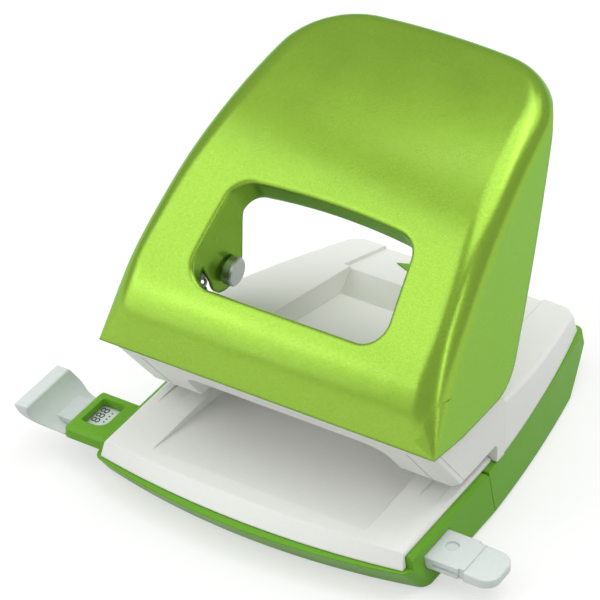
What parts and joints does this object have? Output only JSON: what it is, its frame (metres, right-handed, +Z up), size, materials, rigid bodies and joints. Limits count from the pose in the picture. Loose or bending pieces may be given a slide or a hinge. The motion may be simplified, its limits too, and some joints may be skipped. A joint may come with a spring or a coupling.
{
  "type": "hole punch",
  "caption": "Desk hole punch with a curved pressed-metal lever, a plastic base and covers, a paper deck under a bridge, a sliding paper guide and a chip tray.",
  "frame": {"origin": "on the table plane, midway between the two punch axes, on the underside of the base mat", "axes": "+X to the user's right, +Y from the paper side to the back, +Z up"},
  "size_m": [0.1406, 0.1244, 0.1033],
  "materials": {
    "lever_paint": "metallic gloss",
    "green_plastic": "satin",
    "white_plastic": "satin",
    "steel": "zinc plated",
    "tool_steel": "ground",
    "spring_steel": "drawn",
    "cast_zinc": "cast",
    "frosted_plastic": "frosted",
    "strip_print": "printed",
    "rubber": "matt"
  },
  "bodies": {
    "base": {"guide_housing": "green_plastic", "deck": "white_plastic", "fascia": "white_plastic", "rear_cover": "white_plastic", "tray_hinge_pin": "steel", "front_feet": "rubber", "detent_spring": "spring_steel", "frame_screws": "steel", "punch_frame_left": "cast_zinc", "punch_frame_right": "cast_zinc", "pivot_pin_left": "steel", "pivot_pin_right": "steel", "pivot_clip_left": "spring_steel", "pivot_clip_right": "spring_steel", "guide_bush_left": "steel", "guide_bush_right": "steel", "punch_spring_left": "spring_steel", "punch_spring_right": "spring_steel", "die_left": "tool_steel", "die_right": "tool_steel"},
    "lever_arm": {"lever": "lever_paint", "hinge_bracket_left": "steel", "hinge_bracket_right": "steel", "drive_pin_left": "steel", "drive_pin_right": "steel"},
    "left_punch": {"punch_left": "tool_steel"},
    "right_punch": {"punch_right": "tool_steel"},
    "paper_guide": {"guide_rail": "frosted_plastic", "format_strip": "strip_print", "guide_stop": "frosted_plastic"},
    "tray": {"chip_tray": "green_plastic", "base_mat": "rubber"},
    "latch": {"tray_latch": "green_plastic"}
  },
  "joints": [
    {"name": "lever_hinge", "type": "hinge", "parent": "base", "child": "lever_arm", "pos_m": [0, -0.02, 0.046], "axis": [-1, 0, 0], "range_deg": [0, 21.5], "stiffness_Nm_per_rad": 2, "springref_deg": -20.05},
    {"name": "left_punch_slide", "type": "slide", "parent": "base", "child": "left_punch", "axis": [0, 0, -1], "range_m": [0, 0.0082], "deforming": ["punch_spring_left"]},
    {"name": "right_punch_slide", "type": "slide", "parent": "base", "child": "right_punch", "axis": [0, 0, -1], "range_m": [0, 0.0082], "deforming": ["punch_spring_right"]},
    {"name": "guide_slide", "type": "slide", "parent": "base", "child": "paper_guide", "axis": [-1, 0, 0], "range_m": [0, 0.0965]},
    {"name": "tray_hinge", "type": "hinge", "parent": "base", "child": "tray", "pos_m": [0, -0.0105, 0.0036], "axis": [-1, 0, 0], "range_deg": [0, 60]},
    {"name": "latch_press", "type": "slide", "parent": "base", "child": "latch", "axis": [0, 0, -1], "range_m": [0, 0.0015], "stiffness_N_per_m": 300, "springref_m": -0.002}
  ],
  "couplings": [
    {"joint": "left_punch_slide", "follows": "lever_hinge", "m_per_rad": 0.0213},
    {"joint": "right_punch_slide", "follows": "lever_hinge", "m_per_rad": 0.0213}
  ]
}
